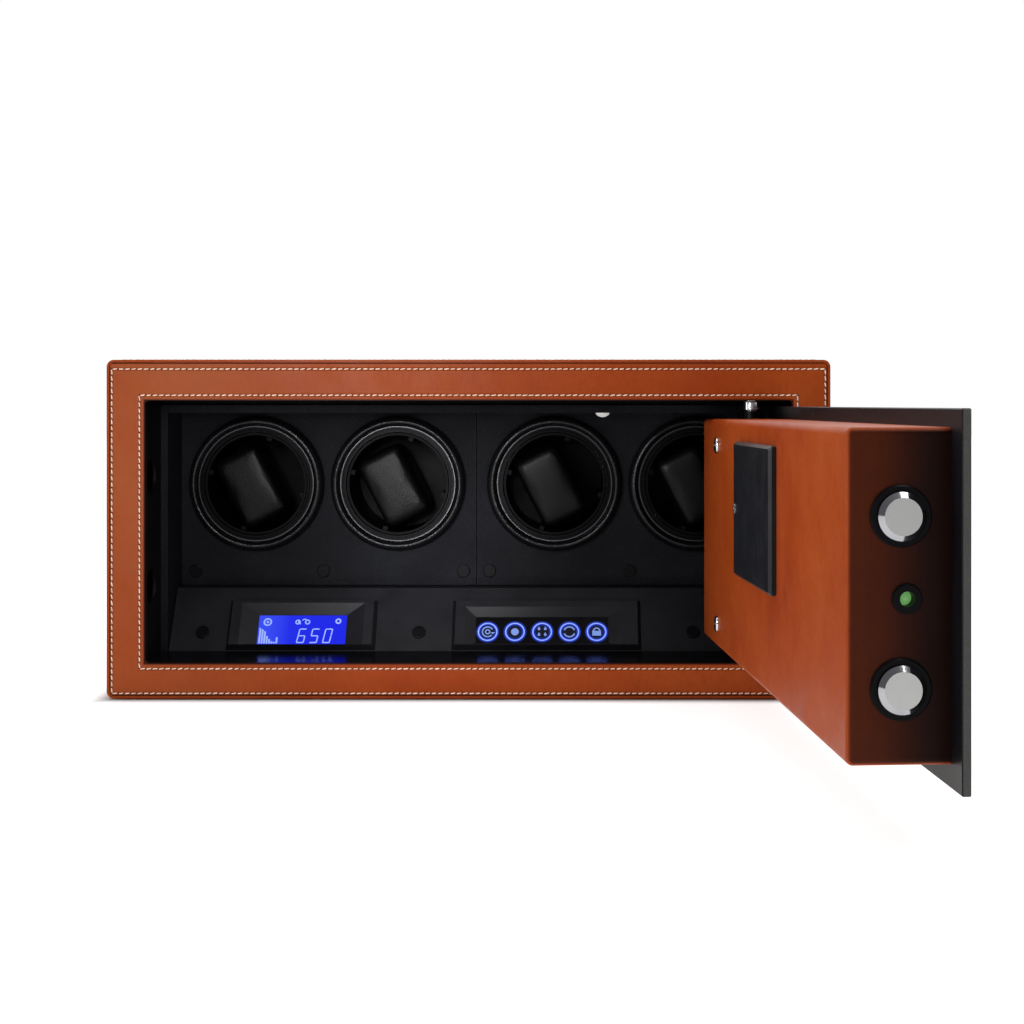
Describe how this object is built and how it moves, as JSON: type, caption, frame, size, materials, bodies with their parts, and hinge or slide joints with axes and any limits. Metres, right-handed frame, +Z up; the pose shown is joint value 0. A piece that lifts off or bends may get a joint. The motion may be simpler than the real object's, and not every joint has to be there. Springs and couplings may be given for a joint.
{
  "type": "watch winder box",
  "caption": "Leather-covered steel cabinet with a side-hinged safe door, shooting bolts and belt-driven rotating watch cups behind padded rings.",
  "frame": {"origin": "middle of the underside of the cabinet's base mat, on the surface it stands on", "axes": "+X to the right seen from the front, +Y from the front opening to the back, +Z up; the door is stored open"},
  "size_m": [0.456, 0.6272, 0.214],
  "materials": {
    "cognac_leather": "semi-gloss grained leather",
    "black_leatherette": "matt fine-grained leatherette",
    "soft_black_leather": "soft padded leather",
    "black_steel": "satin powder coat",
    "door_black": "satin black plate",
    "zinc_steel": "zinc plated",
    "dark_screws": "black oxide",
    "chrome": "satin chrome",
    "bronze": "turned bronze",
    "black_plastic": "fine texture",
    "satin_black": "satin",
    "console_black": "soft satin",
    "cover_black": "satin",
    "gloss_black": "high gloss",
    "lcd_blue": "backlit display",
    "green_led": "lit diode",
    "lamp_white": "frosted dome",
    "circuit_board": "solder resist",
    "cell_jacket": "printed sleeve",
    "black_rubber": "matt"
  },
  "bodies": {
    "cabinet": {"base_mat": "black_rubber", "leather_wrap": "cognac_leather", "leather_front": "cognac_leather", "steel_shell": "black_steel", "front_flange": "black_steel", "back_plate": "black_steel", "drive_frame": "zinc_steel", "hinge_brackets": "zinc_steel", "back_screws": "dark_screws", "dc_jack": "black_plastic", "liner_left": "black_leatherette", "liner_right": "black_leatherette", "liner_ceiling": "black_leatherette", "liner_floor": "gloss_black", "ceiling_lamp": "lamp_white", "winder_panel_left": "black_leatherette", "winder_panel_right": "black_leatherette", "ring_pads": "soft_black_leather", "ring_collars": "satin_black", "screw_caps": "black_plastic", "console_panel": "console_black", "lcd_bezel": "console_black", "lcd_display": "lcd_blue", "touch_bezel": "console_black", "touch_glass": "gloss_black", "control_board": "circuit_board", "drive_motors": "zinc_steel", "drive_belts": "black_rubber", "axle_bearings": "bronze", "hinge_pins": "chrome"},
    "door": {"door_plate": "door_black", "door_leather": "cognac_leather", "door_shell": "zinc_steel", "bolt_collars": "black_plastic", "lock_actuator": "black_plastic", "led_bush": "black_plastic", "status_led": "green_led", "hinge_bushes": "black_plastic", "door_screws": "chrome", "battery_cover": "cover_black", "cover_screw": "zinc_steel", "battery_tray": "black_plastic", "batteries": "cell_jacket", "keypad_unit": "gloss_black", "key_housing": "zinc_steel"},
    "lock_bolts": {"lock_bolts": "chrome", "bolt_carrier": "zinc_steel"},
    "key_core": {"key_core": "bronze"},
    "winder_1": {"cup_1": "satin_black"},
    "motor_1": {"motor_pulley_1": "satin_black"},
    "cushion_1": {"cushion_1": "soft_black_leather"},
    "winder_2": {"cup_2": "satin_black"},
    "motor_2": {"motor_pulley_2": "satin_black"},
    "cushion_2": {"cushion_2": "soft_black_leather"},
    "winder_3": {"cup_3": "satin_black"},
    "motor_3": {"motor_pulley_3": "satin_black"},
    "cushion_3": {"cushion_3": "soft_black_leather"},
    "winder_4": {"cup_4": "satin_black"},
    "motor_4": {"motor_pulley_4": "satin_black"},
    "cushion_4": {"cushion_4": "soft_black_leather"}
  },
  "joints": [
    {"name": "door_hinge", "type": "hinge", "parent": "cabinet", "child": "door", "pos_m": [0.1812, -0.113, 0.1064], "axis": [0, 0, 1], "range_deg": [-94, 4]},
    {"name": "bolt_throw", "type": "slide", "parent": "door", "child": "lock_bolts", "axis": [0.0698, -0.9976, 0], "range_m": [0, 0.024]},
    {"name": "key_turn", "type": "hinge", "parent": "door", "child": "key_core", "pos_m": [0.2082, -0.41305, 0.062], "axis": [0.9976, 0.0698, 0], "range_deg": [0, 90]},
    {"name": "winder_1_spin", "type": "hinge", "parent": "cabinet", "child": "winder_1", "pos_m": [-0.1505, 0, 0.1316], "axis": [0, -1, 0], "continuous": true},
    {"name": "motor_1_spin", "type": "hinge", "parent": "cabinet", "child": "motor_1", "pos_m": [-0.1505, 0.02, 0.0816], "axis": [0, -1, 0], "continuous": true},
    {"name": "cushion_1_pull", "type": "slide", "parent": "winder_1", "child": "cushion_1", "axis": [0, -1, 0], "range_m": [0, 0.042]},
    {"name": "winder_2_spin", "type": "hinge", "parent": "cabinet", "child": "winder_2", "pos_m": [-0.0536, 0, 0.1316], "axis": [0, -1, 0], "continuous": true},
    {"name": "motor_2_spin", "type": "hinge", "parent": "cabinet", "child": "motor_2", "pos_m": [-0.0536, 0.02, 0.0816], "axis": [0, -1, 0], "continuous": true},
    {"name": "cushion_2_pull", "type": "slide", "parent": "winder_2", "child": "cushion_2", "axis": [0, -1, 0], "range_m": [0, 0.042]},
    {"name": "winder_3_spin", "type": "hinge", "parent": "cabinet", "child": "winder_3", "pos_m": [0.0536, 0, 0.1316], "axis": [0, -1, 0], "continuous": true},
    {"name": "motor_3_spin", "type": "hinge", "parent": "cabinet", "child": "motor_3", "pos_m": [0.0536, 0.02, 0.0816], "axis": [0, -1, 0], "continuous": true},
    {"name": "cushion_3_pull", "type": "slide", "parent": "winder_3", "child": "cushion_3", "axis": [0, -1, 0], "range_m": [0, 0.042]},
    {"name": "winder_4_spin", "type": "hinge", "parent": "cabinet", "child": "winder_4", "pos_m": [0.1505, 0, 0.1316], "axis": [0, -1, 0], "continuous": true},
    {"name": "motor_4_spin", "type": "hinge", "parent": "cabinet", "child": "motor_4", "pos_m": [0.1505, 0.02, 0.0816], "axis": [0, -1, 0], "continuous": true},
    {"name": "cushion_4_pull", "type": "slide", "parent": "winder_4", "child": "cushion_4", "axis": [0, -1, 0], "range_m": [0, 0.042]}
  ],
  "couplings": [
    {"joint": "motor_1_spin", "follows": "winder_1_spin", "ratio": 5.9057},
    {"joint": "motor_2_spin", "follows": "winder_2_spin", "ratio": 5.9057},
    {"joint": "motor_3_spin", "follows": "winder_3_spin", "ratio": 5.9057},
    {"joint": "motor_4_spin", "follows": "winder_4_spin", "ratio": 5.9057}
  ]
}
